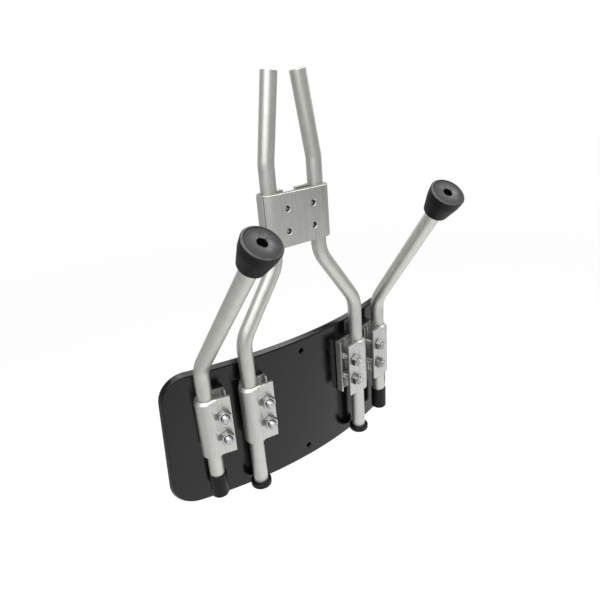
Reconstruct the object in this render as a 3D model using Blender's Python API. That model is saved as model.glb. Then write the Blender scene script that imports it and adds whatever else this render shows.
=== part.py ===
"""Front frame of a body-worn drum carrier.

Two bent uprights hang from a shoulder yoke and are tied by a chest plate. A curved belly plate
slides on them in split clamps, and its outer clamps hold two swivelling arms with rubber bumpers.
Metres, +Z up, -Y to the front. The origin is midway between the upper ends of the uprights.
"""

import math

import bmesh
import bpy
from mathutils import Matrix, Vector

# Gap between parts that touch
FIT = 0.0003

# Aluminium tube of the uprights and the arms
TUBE_D = 0.016
TUBE_WALL = 0.0015
BEND_RADIUS = 0.036

# Belly plate and the foam behind it, widths measured round the curve at half height
PLATE_RADIUS = 0.460
PLATE_WIDTH = 0.336
PLATE_HEIGHT = 0.164
PLATE_SLANT = math.radians(3.3)
PLATE_THICK = 0.006
PLATE_CORNER = 0.030
PLATE_EDGE = 0.002
PLATE_HOLE_D = 0.005
PLATE_HOLE_PITCH = 0.130
PAD_THICK = 0.010
PAD_MARGIN = 0.012
PAD_CORNER = 0.024
PAD_EDGE = 0.003

# Split clamps on the belly plate
CLAMP_FROM_MIDDLE = 0.0737
CLAMP_GAP = 0.01085
CLAMP_HEIGHT = 0.0665
CLAMP_RISE = 0.0237
CLAMP_WALL = 0.0035
CLAMP_FLOOR = 0.005
CLAMP_HEEL = 0.0065
CLAMP_FOOT = 0.0037
CLAMP_LIP = 0.0025
CLAMP_LIP_HEIGHT = 0.0085
CLAMP_LIP_GAP = 0.0013
CLAMP_EAR = 0.0035
CLAMP_EAR_SETBACK = 0.0030
CLAMP_EAR_MARGIN = 0.0013
CLAMP_EDGE = 0.0008

# Clamp bolts, countersunk into the back of the belly plate, and their nuts
BOLT_D = 0.008
BOLT_HEAD_D = 0.015
BOLT_HEAD_RIM = 0.0004
BOLT_HEAD_RECESS = 0.0006
BOLT_PITCH = 0.0255
BOLT_END = 0.004
BOLT_EASE = 0.0008
NUT_FLATS = 0.013
NUT_HEIGHT = 0.0065
NUT_GAP = 0.0004

# Uprights, from the clamps up
UPRIGHT_TAIL = 0.058
UPRIGHT_ROOM = 0.0405
UPRIGHT_SPLAY = math.radians(34.6)
UPRIGHT_LEAN = math.radians(8.85)
UPRIGHT_TOP_LENGTH = 0.0806

# Chest plate, its saddles and their screws
CHEST_HEIGHT = 0.053
CHEST_THICK = 0.0066
CHEST_WALL = 0.004
CHEST_ROOM_BELOW = 0.0071
CHEST_ROOM_ABOVE = 0.025
SADDLE_GAP = 0.0152
SADDLE_EAR = 0.004
SADDLE_EAR_SETBACK = 0.003
CHEST_SCREW_PITCH = 0.0224
CHEST_SCREW_EDGE = 0.0082
CHEST_SCREW_HEAD_GAP = 0.0003
CHEST_SCREW_RECESS = 0.004

# Socket head screws of the saddles and the bumpers
SCREW_D = 0.005
SCREW_HEAD_D = 0.0085
SCREW_HEAD_HEIGHT = 0.005
SCREW_KEY_FLATS = 0.004
SCREW_KEY_DEPTH = 0.0025
SCREW_EASE = 0.0005

# Bumper arms
ARM_TAIL = 0.0275
ARM_ROOM = 0.0208
ARM_TILT = math.radians(38.1)
ARM_TOE_IN = math.radians(8.1)
ARM_REACH = 0.188

# Rubber bumpers, measured back from the face
BUMPER_D = 0.035
BUMPER_RIM = 0.0014
BUMPER_BAND = 0.010
BUMPER_BAND_TAPER = 0.0008
BUMPER_LENGTH = 0.028
BUMPER_NECK_WALL = 0.004
BUMPER_NECK_ROUND = 0.0015
BUMPER_SOCKET = 0.011
BUMPER_WEB = 0.005
INSERT_LENGTH = 0.015
BUMPER_SCREW_LENGTH = 0.016

# Foot plugs of the uprights and pull-on caps of the arms
PLUG_STEM = 0.016
PLUG_LIP = 0.003
PLUG_RIM = 0.0035
PLUG_DOME = 0.004
CAP_LENGTH = 0.0277
CAP_WALL = 0.0012
CAP_FLOOR = 0.002
CAP_ROUND = 0.0015

# Facets of the round forms
TUBE_SIDES = 16
BORE_STEPS = 18
ROUND_SIDES = 16
BEND_STEPS = 6
CORNER_STEPS = 5
PLATE_STRIPS = 20
DOME_STEPS = 3
SMOOTH_BELOW = math.radians(35)
RIM_ABOVE = math.radians(80)

# Places worked out from the sizes above
TUBE_R = TUBE_D / 2
BORE_R = TUBE_R + FIT
BARREL_R = BORE_R + CLAMP_WALL
STANDOFF = BORE_R + CLAMP_FLOOR + FIT
EAR_FRONT = BARREL_R - CLAMP_EAR_SETBACK
EAR_SHOULDER = math.sqrt(BARREL_R**2 - EAR_FRONT**2)
BOLT_OFFSET = EAR_SHOULDER + NUT_GAP + NUT_FLATS / 2
EAR_END = BOLT_OFFSET + NUT_FLATS / math.sqrt(3) + CLAMP_EAR_MARGIN
CLAMP_SPACING = BARREL_R + CLAMP_GAP + EAR_END
INNER_ANGLE = CLAMP_FROM_MIDDLE / PLATE_RADIUS
OUTER_ANGLE = (CLAMP_FROM_MIDDLE + CLAMP_SPACING) / PLATE_RADIUS
CLAMP_TOP = CLAMP_RISE + CLAMP_HEIGHT / 2
CLAMP_BOTTOM = CLAMP_RISE - CLAMP_HEIGHT / 2

SADDLE_R = BORE_R + CHEST_WALL
CHEST_SCREW_X = SADDLE_GAP / 2 + CHEST_SCREW_EDGE
CHEST_BACK = CHEST_THICK - SADDLE_R
SADDLE_EAR_BACK = SADDLE_R - SADDLE_EAR_SETBACK
SADDLE_SHOULDER = math.sqrt(SADDLE_R**2 - SADDLE_EAR_BACK**2)
CHEST_X = CHEST_SCREW_X + SCREW_HEAD_D / 2 + CHEST_SCREW_HEAD_GAP + SADDLE_SHOULDER

UPRIGHT_X = (PLATE_RADIUS + STANDOFF) * math.sin(INNER_ANGLE)
UPRIGHT_Y = PLATE_RADIUS - (PLATE_RADIUS + STANDOFF) * math.cos(INNER_ANGLE)
SPLAY_TANGENT = BEND_RADIUS * math.tan(UPRIGHT_SPLAY / 2)
LEAN_TANGENT = BEND_RADIUS * math.tan(UPRIGHT_LEAN / 2)
FOOT_Z = CLAMP_BOTTOM - UPRIGHT_TAIL
SPLAY_Z = CLAMP_TOP + UPRIGHT_ROOM + SPLAY_TANGENT
GATHER_Z = SPLAY_Z + (UPRIGHT_X - CHEST_X) / math.tan(UPRIGHT_SPLAY)
CHEST_Z = GATHER_Z + SPLAY_TANGENT + CHEST_ROOM_BELOW + CHEST_HEIGHT / 2
LEAN_Z = CHEST_Z + CHEST_HEIGHT / 2 + CHEST_ROOM_ABOVE + LEAN_TANGENT
TOP_Z = LEAN_Z + UPRIGHT_TOP_LENGTH * math.cos(UPRIGHT_LEAN)

CAP_RIM_Z = CLAMP_BOTTOM - ARM_TAIL
ARM_FOOT_Z = CAP_RIM_Z - CAP_LENGTH + CAP_FLOOR + FIT
ARM_BEND_Z = CLAMP_TOP + ARM_ROOM + BEND_RADIUS * math.tan(ARM_TILT / 2)
BUMPER_HOLE_DEPTH = BUMPER_LENGTH - BUMPER_SOCKET - BUMPER_WEB


def clear_scene():
    """Empties the file of whatever it opened with."""
    for thing in list(bpy.data.objects):
        bpy.data.objects.remove(thing, do_unlink=True)


def finish(name, colour, roughness, metallic):
    """A plain material for one finish."""
    made = bpy.data.materials.new(name)
    made.use_nodes = True
    shader = made.node_tree.nodes["Principled BSDF"]
    shader.inputs["Base Color"].default_value = (*colour, 1.0)
    shader.inputs["Roughness"].default_value = roughness
    shader.inputs["Metallic"].default_value = metallic
    return made


def seat(name, parent=None, place=(0, 0, 0), turn=0.0):
    """An empty that carries parts: a place, turned about Z."""
    made = bpy.data.objects.new(name, None)
    bpy.context.collection.objects.link(made)
    made.parent = parent
    made.location = place
    made.rotation_euler = (0, 0, turn)
    return made


def part(name, shape, material, parent, place=(0, 0, 0), tilt=0.0):
    """One named piece from a bmesh, set on its parent and tilted about X."""
    bmesh.ops.recalc_face_normals(shape, faces=shape.faces)
    mesh = bpy.data.meshes.new(name)
    shape.to_mesh(mesh)
    shape.free()
    mesh.shade_smooth()
    mesh.set_sharp_from_angle(angle=SMOOTH_BELOW)
    made = bpy.data.objects.new(name, mesh)
    bpy.context.collection.objects.link(made)
    made.parent = parent
    made.location = place
    made.rotation_euler = (tilt, 0, 0)
    if material:
        made.data.materials.append(material)
    return made


def cut(target, name, shape, parent, place=(0, 0, 0), tilt=0.0):
    """Takes a shape out of a piece, with the shape kept as a wire guide."""
    tool = part(name, shape, None, parent, place, tilt)
    tool.hide_render = True
    tool.display_type = "WIRE"
    taken = target.modifiers.new(name, "BOOLEAN")
    taken.operation = "DIFFERENCE"
    taken.solver = "EXACT"
    taken.object = tool


def lathe(profile, steps=ROUND_SIDES, ring=False):
    """Turns (radius, height) points about Z. A ring profile closes on itself, clear of the axis."""
    shape = bmesh.new()
    points = [shape.verts.new((radius, 0, height)) for radius, height in profile]
    lines = [shape.edges.new(pair) for pair in zip(points, points[1:])]
    if ring:
        lines.append(shape.edges.new((points[-1], points[0])))
    drawn = points + lines
    up = (0, 0, 1)
    middle = (0, 0, 0)
    bmesh.ops.spin(shape, geom=drawn, axis=up, cent=middle, angle=math.tau, steps=steps, use_merge=True)
    bmesh.ops.remove_doubles(shape, verts=shape.verts, dist=1e-6)
    return shape


def rod(radius, low, high, steps=ROUND_SIDES):
    """A plain round bar along Z."""
    return lathe([(0, low), (radius, low), (radius, high), (0, high)], steps)


def arc(centre, radius, start, end, steps):
    """Points on a circle from one angle to another, both included."""
    angles = [start + (end - start) * step / steps for step in range(steps + 1)]
    return [(centre[0] + radius * math.cos(a), centre[1] + radius * math.sin(a)) for a in angles]


def slab(outline, height):
    """An outline in XY drawn up by a height, centred on Z = 0."""
    shape = bmesh.new()
    face = shape.faces.new([shape.verts.new((x, y, -height / 2)) for x, y in outline])
    grown = bmesh.ops.extrude_face_region(shape, geom=[face])
    moved = [item for item in grown["geom"] if isinstance(item, bmesh.types.BMVert)]
    bmesh.ops.translate(shape, verts=moved, vec=(0, 0, height))
    return shape


def bent_line(corners, radius, steps):
    """Points and directions along straight runs whose inner corners are bent to a radius."""
    corners = [Vector(corner) for corner in corners]
    runs = [(b - a).normalized() for a, b in zip(corners, corners[1:])]
    line = [(corners[0], runs[0])]
    for corner, before, after in zip(corners[1:], runs, runs[1:]):
        turn = before.angle(after)
        hinge = before.cross(after).normalized()
        start = corner - before * radius * math.tan(turn / 2)
        centre = start + hinge.cross(before) * radius
        for step in range(steps + 1):
            swing = Matrix.Rotation(turn * step / steps, 3, hinge)
            line.append((centre + swing @ (start - centre), swing @ before))
    line.append((corners[-1], runs[-1]))
    return line


def bent_tube(line, flat, outer, inner):
    """A hollow tube along a line that lies in the plane with the normal flat."""
    shape = bmesh.new()
    flat = Vector(flat)
    loops = []
    for point, along in line:
        across = flat.cross(along)
        turns = [math.tau * side / TUBE_SIDES for side in range(TUBE_SIDES)]
        spokes = [across * math.cos(turn) + flat * math.sin(turn) for turn in turns]
        loops.append([[shape.verts.new(point + spoke * r) for spoke in spokes] for r in (outer, inner)])
    bands = [(a[wall], b[wall]) for a, b in zip(loops, loops[1:]) for wall in (0, 1)]
    bands += [(end[0], end[1]) for end in (loops[0], loops[-1])]
    for first, second in bands:
        for side in range(TUBE_SIDES):
            after = (side + 1) % TUBE_SIDES
            shape.faces.new((first[side], first[after], second[after], second[side]))
    return shape


def curved_sheet(width, height, thick, corner, edge, front_radius):
    """A sheet with round corners, eased edges and slanted ends, wrapped round the plate's centre."""
    flat_x = width / 2 - corner
    flat_z = height / 2 - corner
    middles = ((flat_x, flat_z), (-flat_x, flat_z), (-flat_x, -flat_z), (flat_x, -flat_z))
    outline = []
    for quarter, middle in enumerate(middles):
        start = quarter * math.pi / 2
        outline += arc(middle, corner, start, start + math.pi / 2, CORNER_STEPS)
    shape = bmesh.new()
    shape.faces.new([shape.verts.new((x, 0, z)) for x, z in outline])
    for strip in range(1, PLATE_STRIPS):
        everything = shape.verts[:] + shape.edges[:] + shape.faces[:]
        seam = (width * (strip / PLATE_STRIPS - 0.5), 0, 0)
        bmesh.ops.bisect_plane(shape, geom=everything, dist=1e-6, plane_co=seam, plane_no=(1, 0, 0))
    grown = bmesh.ops.extrude_face_region(shape, geom=shape.faces[:], use_keep_orig=True)
    moved = [item for item in grown["geom"] if isinstance(item, bmesh.types.BMVert)]
    bmesh.ops.translate(shape, verts=moved, vec=(0, thick, 0))
    bmesh.ops.recalc_face_normals(shape, faces=shape.faces)
    rim = [line for line in shape.edges if line.calc_face_angle(0) > RIM_ABOVE]
    bmesh.ops.bevel(shape, geom=rim, offset=edge, segments=2, profile=0.5, affect="EDGES")
    many_sided = [face for face in shape.faces if len(face.verts) > 4]
    bmesh.ops.triangulate(shape, faces=many_sided)
    for point in shape.verts:
        spread = 1 - 2 * point.co.z * math.tan(PLATE_SLANT) / width
        turn = point.co.x * spread / front_radius
        reach = front_radius - point.co.y
        point.co.x = reach * math.sin(turn)
        point.co.y = PLATE_RADIUS - reach * math.cos(turn)
    return shape


def hexagon_bar(flats, low, high):
    """A six-sided bar along Z."""
    corner = flats / math.sqrt(3)
    first = math.tau / 12
    shape = slab(arc((0, 0), corner, first, first + math.tau * 5 / 6, 5), high - low)
    bmesh.ops.translate(shape, verts=shape.verts, vec=(0, 0, (low + high) / 2))
    return shape


def socket_screw(name, length, parent, place, tilt):
    """A socket head screw along Z: its head rests on Z = 0 and its shank hangs below."""
    head = SCREW_HEAD_D / 2
    shank = SCREW_D / 2
    top = SCREW_HEAD_HEIGHT
    profile = [(0, -length), (shank - SCREW_EASE, -length), (shank, SCREW_EASE - length), (shank, 0)]
    profile += [(head, 0), (head, top - SCREW_EASE), (head - SCREW_EASE, top), (0, top)]
    made = part(name, lathe(profile), STEEL, parent, place, tilt)
    key = hexagon_bar(SCREW_KEY_FLATS, top - SCREW_KEY_DEPTH, top + SCREW_KEY_DEPTH)
    cut(made, name + "_key", key, parent, place, tilt)


def clamp_section():
    """A clamp's section as (inboard, outward) points from the tube's axis, in one line round."""
    base = -(BORE_R + CLAMP_FLOOR)
    foot = base + CLAMP_FOOT
    slot = base + CLAMP_LIP_HEIGHT
    lip = BOLT_OFFSET + BOLT_D / 2 + CLAMP_LIP_GAP
    ear_back = EAR_FRONT - CLAMP_EAR
    outline = [(lip + CLAMP_LIP, base)]
    outline += arc((lip + CLAMP_LIP - CLAMP_EDGE, slot - CLAMP_EDGE), CLAMP_EDGE, 0, math.pi / 2, 2)
    outline += [(lip, slot), (lip, foot)]
    outline += arc((0, 0), BARREL_R, math.asin(foot / BARREL_R), math.asin(slot / BARREL_R), 2)
    wrap_start = math.asin(slot / BORE_R)
    wrap_end = math.asin(ear_back / BORE_R) - math.tau
    outline += arc((0, 0), BORE_R, wrap_start, wrap_end, BORE_STEPS)
    outline += [(EAR_END, ear_back)]
    outline += arc((EAR_END - CLAMP_EDGE, EAR_FRONT - CLAMP_EDGE), CLAMP_EDGE, 0, math.pi / 2, 2)
    heel = math.pi + math.acos(CLAMP_HEEL / BARREL_R)
    outline += arc((0, 0), BARREL_R, math.asin(EAR_FRONT / BARREL_R), heel, BORE_STEPS * 2 // 3)
    outline += [(-CLAMP_HEEL, base)]
    return outline


def clamp(place, side, angle, belly, plate):
    """A split clamp with its bolts and nuts. Side is +1 where inboard is +X, otherwise -1."""
    turn = -side * angle
    reach = PLATE_RADIUS + STANDOFF
    stand = (reach * math.sin(turn), PLATE_RADIUS - reach * math.cos(turn), 0)
    axis = seat("seat_" + place, belly, stand, turn)
    outline = [(side * inboard, -outward) for inboard, outward in clamp_section()]
    body = part("clamp_" + place, slab(outline, CLAMP_HEIGHT), ALUMINIUM, axis, (0, 0, CLAMP_RISE))
    plate_back = math.sqrt((PLATE_RADIUS - PLATE_THICK) ** 2 - BOLT_OFFSET**2) - reach
    head = plate_back + BOLT_HEAD_RECESS
    cone = head + BOLT_HEAD_RIM
    shank = BOLT_D / 2
    neck = cone + BOLT_HEAD_D / 2 - shank
    nut = EAR_FRONT + FIT
    end = nut + NUT_HEIGHT + BOLT_END
    outward = math.pi / 2
    for row, rise in (("upper", BOLT_PITCH / 2), ("lower", -BOLT_PITCH / 2)):
        spot = (side * BOLT_OFFSET, 0, CLAMP_RISE + rise)
        tag = f"{place}_{row}"
        profile = [(0, head), (BOLT_HEAD_D / 2, head), (BOLT_HEAD_D / 2, cone), (shank, neck)]
        profile += [(shank, end - BOLT_EASE), (shank - BOLT_EASE, end), (0, end)]
        part("clamp_bolt_" + tag, lathe(profile), STEEL, axis, spot, outward)
        hexagon = hexagon_bar(NUT_FLATS, nut, nut + NUT_HEIGHT)
        fastened = part("clamp_nut_" + tag, hexagon, STEEL, axis, spot, outward)
        cut(fastened, "nut_hole_" + tag, rod(shank + FIT, nut - FIT, end), axis, spot, outward)
        cut(body, "clamp_hole_" + tag, rod(shank + FIT, head, end), axis, spot, outward)
        deep = plate_back - PLATE_THICK
        sunk = [(0, deep), (BOLT_HEAD_D / 2 + FIT, deep), (BOLT_HEAD_D / 2 + FIT, cone)]
        sunk += [(shank + FIT, neck), (shank + FIT, nut), (0, nut)]
        cut(plate, "plate_hole_" + tag, lathe(sunk), axis, spot, outward)
    return axis


def belly_plate(belly):
    """The curved plate with its two spare holes, and the foam sheet glued to its back."""
    shape = curved_sheet(PLATE_WIDTH, PLATE_HEIGHT, PLATE_THICK, PLATE_CORNER, PLATE_EDGE, PLATE_RADIUS)
    plate = part("belly_plate", shape, PLASTIC, belly)
    for row, rise in (("upper", PLATE_HOLE_PITCH / 2), ("lower", -PLATE_HOLE_PITCH / 2)):
        drill = rod(PLATE_HOLE_D / 2, -PLATE_THICK, 2 * PLATE_THICK)
        cut(plate, "spare_hole_" + row, drill, belly, (0, 0, rise), -math.pi / 2)
    width = PLATE_WIDTH - 2 * PAD_MARGIN
    height = PLATE_HEIGHT - 2 * PAD_MARGIN
    back_radius = PLATE_RADIUS - PLATE_THICK - FIT
    foam = curved_sheet(width, height, PAD_THICK, PAD_CORNER, PAD_EDGE, back_radius)
    part("belly_pad", foam, FOAM, belly)
    return plate


def upright(name, side, carrier):
    """A main tube: up through its clamp, splayed in to the chest plate, then leaning to its top."""
    top_x = CHEST_X - UPRIGHT_TOP_LENGTH * math.sin(UPRIGHT_LEAN)
    route = [(UPRIGHT_X, FOOT_Z), (UPRIGHT_X, SPLAY_Z), (CHEST_X, GATHER_Z)]
    route += [(CHEST_X, LEAN_Z), (top_x, TOP_Z)]
    corners = [(-side * x, UPRIGHT_Y, z) for x, z in route]
    line = bent_line(corners, BEND_RADIUS, BEND_STEPS)
    tube = bent_tube(line, (0, 1, 0), TUBE_R, TUBE_R - TUBE_WALL)
    part("upright_" + name, tube, ALUMINIUM, carrier)
    stem = TUBE_R - TUBE_WALL - FIT
    lip = TUBE_R + PLUG_LIP
    low = -FIT - PLUG_RIM - PLUG_DOME
    turns = [math.pi / 2 * step / DOME_STEPS for step in range(DOME_STEPS + 1)]
    profile = [(lip * math.sin(turn), low + PLUG_DOME * (1 - math.cos(turn))) for turn in turns]
    profile += [(lip, -FIT), (stem, -FIT), (stem, PLUG_STEM), (0, PLUG_STEM)]
    part("foot_plug_" + name, lathe(profile), VINYL, carrier, (-side * UPRIGHT_X, UPRIGHT_Y, FOOT_Z))


def chest(carrier):
    """The flat tie plate in front of the uprights, and the saddles that screw to it from behind."""
    middle = (0, UPRIGHT_Y, CHEST_Z)
    reach = math.asin(CHEST_BACK / SADDLE_R)
    groove = math.asin(CHEST_BACK / BORE_R)
    front = -math.pi / 2
    outline = arc((-CHEST_X, 0), SADDLE_R, -math.pi - reach, front, BORE_STEPS // 3)
    outline += arc((CHEST_X, 0), SADDLE_R, front, reach, BORE_STEPS // 3)
    for x in (CHEST_X, -CHEST_X):
        outline += arc((x, 0), BORE_R, groove, -math.pi - groove, BORE_STEPS // 3)
    plate = part("chest_plate", slab(outline, CHEST_HEIGHT), ALUMINIUM, carrier, middle)
    ear_back = SADDLE_EAR_BACK
    ear_front = ear_back - SADDLE_EAR
    leg = CHEST_BACK + FIT
    ear_end = CHEST_X - SADDLE_GAP / 2
    outer = (math.pi - math.asin(leg / SADDLE_R), math.asin(ear_back / SADDLE_R))
    inner = (math.asin(ear_front / BORE_R), math.pi - math.asin(leg / BORE_R))
    section = arc((0, 0), SADDLE_R, *outer, BORE_STEPS)
    section += [(ear_end, ear_back), (ear_end, ear_front)]
    section += arc((0, 0), BORE_R, *inner, BORE_STEPS)
    backward = -math.pi / 2
    length = ear_back + FIT + SADDLE_R - CHEST_SCREW_RECESS
    for name, side in (("left", 1), ("right", -1)):
        outline = [(side * (x - CHEST_X), y) for x, y in section]
        saddle = part("chest_saddle_" + name, slab(outline, CHEST_HEIGHT), ALUMINIUM, carrier, middle)
        for row, rise in (("upper", CHEST_SCREW_PITCH / 2), ("lower", -CHEST_SCREW_PITCH / 2)):
            tag = f"{name}_{row}"
            spot = (-side * CHEST_SCREW_X, UPRIGHT_Y, CHEST_Z + rise)
            hole = SCREW_D / 2 + FIT
            cut(plate, "chest_tap_" + tag, rod(hole, -SADDLE_R - FIT, ear_front), carrier, spot, backward)
            cut(saddle, "saddle_hole_" + tag, rod(hole, CHEST_BACK, SADDLE_R), carrier, spot, backward)
            seat_at = (spot[0], spot[1] + ear_back + FIT, spot[2])
            socket_screw("chest_screw_" + tag, length, carrier, seat_at, backward)


def bumper_profile():
    """The rubber bumper's half section: flat face, band, cone, neck, tube socket and screw hole."""
    hole = SCREW_HEAD_D / 2 + FIT
    neck = TUBE_R + FIT + BUMPER_NECK_WALL
    socket = BUMPER_SOCKET - BUMPER_LENGTH
    thread = SCREW_D / 2 + FIT
    profile = [(hole, 0), (BUMPER_D / 2 - BUMPER_RIM, 0), (BUMPER_D / 2, -BUMPER_RIM)]
    profile += [(BUMPER_D / 2 - BUMPER_BAND_TAPER, -BUMPER_BAND)]
    profile += [(neck, BUMPER_NECK_ROUND - BUMPER_LENGTH), (neck - BUMPER_NECK_ROUND, -BUMPER_LENGTH)]
    profile += [(BORE_R, -BUMPER_LENGTH), (BORE_R, socket), (thread, socket)]
    profile += [(thread, -BUMPER_HOLE_DEPTH), (hole, -BUMPER_HOLE_DEPTH)]
    return profile


def arm(name, side, axis):
    """A bumper arm: it slides and turns in its clamp, then tilts forward to its rubber bumper."""
    pivot = seat("arm_pivot_" + name, axis)
    pivot.rotation_euler.z = side * ARM_TOE_IN - axis.rotation_euler.z
    along = Vector((0, -math.sin(ARM_TILT), math.cos(ARM_TILT)))
    bend = Vector((0, 0, ARM_BEND_Z))
    face = bend + along * ARM_REACH
    tube_end = BUMPER_LENGTH - BUMPER_SOCKET + FIT
    line = bent_line([(0, 0, ARM_FOOT_Z), bend, face - along * tube_end], BEND_RADIUS, BEND_STEPS)
    tube = bent_tube(line, (1, 0, 0), TUBE_R, TUBE_R - TUBE_WALL)
    part("arm_tube_" + name, tube, ALUMINIUM, pivot)
    part("bumper_" + name, lathe(bumper_profile(), ring=True), RUBBER, pivot, face, ARM_TILT)
    plug = TUBE_R - TUBE_WALL - FIT
    thread = SCREW_D / 2 + FIT
    near = -tube_end
    far = near - INSERT_LENGTH
    profile = [(thread, near), (plug, near), (plug, far), (thread, far)]
    part("bumper_insert_" + name, lathe(profile, ring=True), VINYL, pivot, face, ARM_TILT)
    head_seat = face - along * (BUMPER_HOLE_DEPTH - FIT)
    socket_screw("bumper_screw_" + name, BUMPER_SCREW_LENGTH, pivot, head_seat, ARM_TILT)
    outside = BORE_R + CAP_WALL
    profile = [(0, 0), (outside - CAP_ROUND, 0), (outside, CAP_ROUND), (outside, CAP_LENGTH)]
    profile += [(BORE_R, CAP_LENGTH), (BORE_R, CAP_FLOOR), (0, CAP_FLOOR)]
    part("arm_cap_" + name, lathe(profile), VINYL, axis, (0, 0, CAP_RIM_Z - CAP_LENGTH))


clear_scene()
ALUMINIUM = finish("satin aluminium", (0.55, 0.56, 0.54), 0.42, 1.0)
STEEL = finish("zinc plated steel", (0.62, 0.62, 0.60), 0.28, 1.0)
PLASTIC = finish("black moulded plastic", (0.040, 0.040, 0.043), 0.45, 0.0)
FOAM = finish("black foam sheet", (0.025, 0.025, 0.027), 0.9, 0.0)
RUBBER = finish("black rubber", (0.030, 0.030, 0.030), 0.6, 0.0)
VINYL = finish("black vinyl", (0.015, 0.015, 0.016), 0.5, 0.0)

carrier = seat("carrier", None, (0, -UPRIGHT_Y, -TOP_Z))
belly = seat("belly", carrier)
plate = belly_plate(belly)
for hand, side in (("left", 1), ("right", -1)):
    upright(hand, side, carrier)
    clamp("inner_" + hand, side, INNER_ANGLE, belly, plate)
    arm(hand, side, clamp("outer_" + hand, side, OUTER_ANGLE, belly, plate))
chest(carrier)
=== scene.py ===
import bmesh
import bpy
import numpy as np
from mathutils import Matrix, Vector


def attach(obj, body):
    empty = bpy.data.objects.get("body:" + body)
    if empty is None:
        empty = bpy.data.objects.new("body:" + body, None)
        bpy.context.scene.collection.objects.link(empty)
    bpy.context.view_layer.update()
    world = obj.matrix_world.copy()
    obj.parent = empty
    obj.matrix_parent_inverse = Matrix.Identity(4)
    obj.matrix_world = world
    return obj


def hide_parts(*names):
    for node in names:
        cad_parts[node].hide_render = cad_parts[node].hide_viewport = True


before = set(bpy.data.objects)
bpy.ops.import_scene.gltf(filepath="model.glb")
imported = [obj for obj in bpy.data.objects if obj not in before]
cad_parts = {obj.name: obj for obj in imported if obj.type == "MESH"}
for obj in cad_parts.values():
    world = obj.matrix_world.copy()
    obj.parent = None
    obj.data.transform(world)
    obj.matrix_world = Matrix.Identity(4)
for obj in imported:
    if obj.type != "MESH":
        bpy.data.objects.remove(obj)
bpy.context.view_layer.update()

# Camera
# The photograph's view: in front of the frame, well to its left and a little above it, with the
# frame leaning slightly in the picture.
VIEW_TURN, VIEW_RISE, VIEW_ROLL = np.radians([-35.910, 22.467, -4.445])
VIEW_TARGET = np.array([0.007685, 0.007534, -0.230734])
VIEW_DISTANCE = 0.5651
VIEW_LENS = 31.05
VIEW_SHIFT = -0.0051
view_back = np.array([np.sin(VIEW_TURN), -np.cos(VIEW_TURN), np.tan(VIEW_RISE)]) * np.cos(VIEW_RISE)
view_level = np.array([np.cos(VIEW_TURN), np.sin(VIEW_TURN), 0.0])
view_right = np.cos(VIEW_ROLL) * view_level + np.sin(VIEW_ROLL) * np.cross(view_back, view_level)
view_up = np.cross(view_back, view_right)
view_place = VIEW_TARGET + VIEW_DISTANCE * view_back
camera = bpy.data.objects.new("camera", bpy.data.cameras.new("camera"))
camera.matrix_world = Matrix(np.column_stack([view_right, view_up, view_back, view_place]).tolist()).to_4x4()
camera.data.lens = VIEW_LENS
camera.data.shift_x = VIEW_SHIFT
bpy.context.collection.objects.link(camera)
bpy.context.scene.camera = camera
bpy.context.scene.view_settings.view_transform = "Standard"

# Uprights
# Two lengths of 16 mm drawn aluminium tube that carry the whole frame from the shoulders down.
# Each is cold bent three times in one plane, cut square, deburred and satin anodised.
TUBE_R = 0.008
TUBE_WALL = 0.0015
TUBE_DEBUR = 0.0004
TUBE_SIDES = 56
BEND_R = 0.036
BEND_STEPS = 14
UPRIGHT_X = 0.075555
CHEST_X = 0.0284
UPRIGHT_TOP_X = 0.016
UPRIGHT_FOOT_Z = -0.423307
UPRIGHT_SPLAY_Z = -0.247094
UPRIGHT_GATHER_Z = -0.178739
UPRIGHT_LEAN_Z = -0.079640
SAME_POINT = 1e-7
MERGE_WITHIN = 1e-6
NEVER_ZERO = 1e-9
SHARP_ANGLE = np.radians(50)
DRAW_LINE = 0.0011
DRAW_LINE_LENGTH = 0.070
ETCH_PATCH = 0.009
NOISE_SPAN = {"From Min": 0.3, "From Max": 0.7}
ANODISED_PALE = "#D3D3CE"
ANODISED_DEEP = "#BDBDB8"
SIDES = (("left", 1), ("right", -1))


def linear(code):
    """sRGB hex to linear: a channel up to 0.04045 over 12.92, above that ((c + 0.055) / 1.055) ^ 2.4."""
    channel = np.array([int(code[at:at + 2], 16) for at in (1, 3, 5)]) / 255
    curve = np.where(channel <= 0.04045, channel / 12.92, ((channel + 0.055) / 1.055) ** 2.4)
    return (*curve.tolist(), 1.0)


def feed(node, sockets):
    """Gives each named socket of a node its number or colour, or a link from another node's socket."""
    for name, value in sockets.items():
        if isinstance(value, bpy.types.NodeSocket):
            node.id_data.links.new(value, node.inputs[name])
        else:
            node.inputs[name].default_value = value


def add(tree, kind, sockets, **settings):
    """Adds a node to a tree with its settings, and feeds its sockets."""
    node = tree.nodes.new("ShaderNode" + kind)
    for name, value in settings.items():
        setattr(node, name, value)
    feed(node, sockets)
    return node


def started(name):
    """A new material with nodes, its node tree, and the shader in it."""
    material = bpy.data.materials.new(name)
    material.use_nodes = True
    return material, material.node_tree, material.node_tree.nodes["Principled BSDF"]


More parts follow.
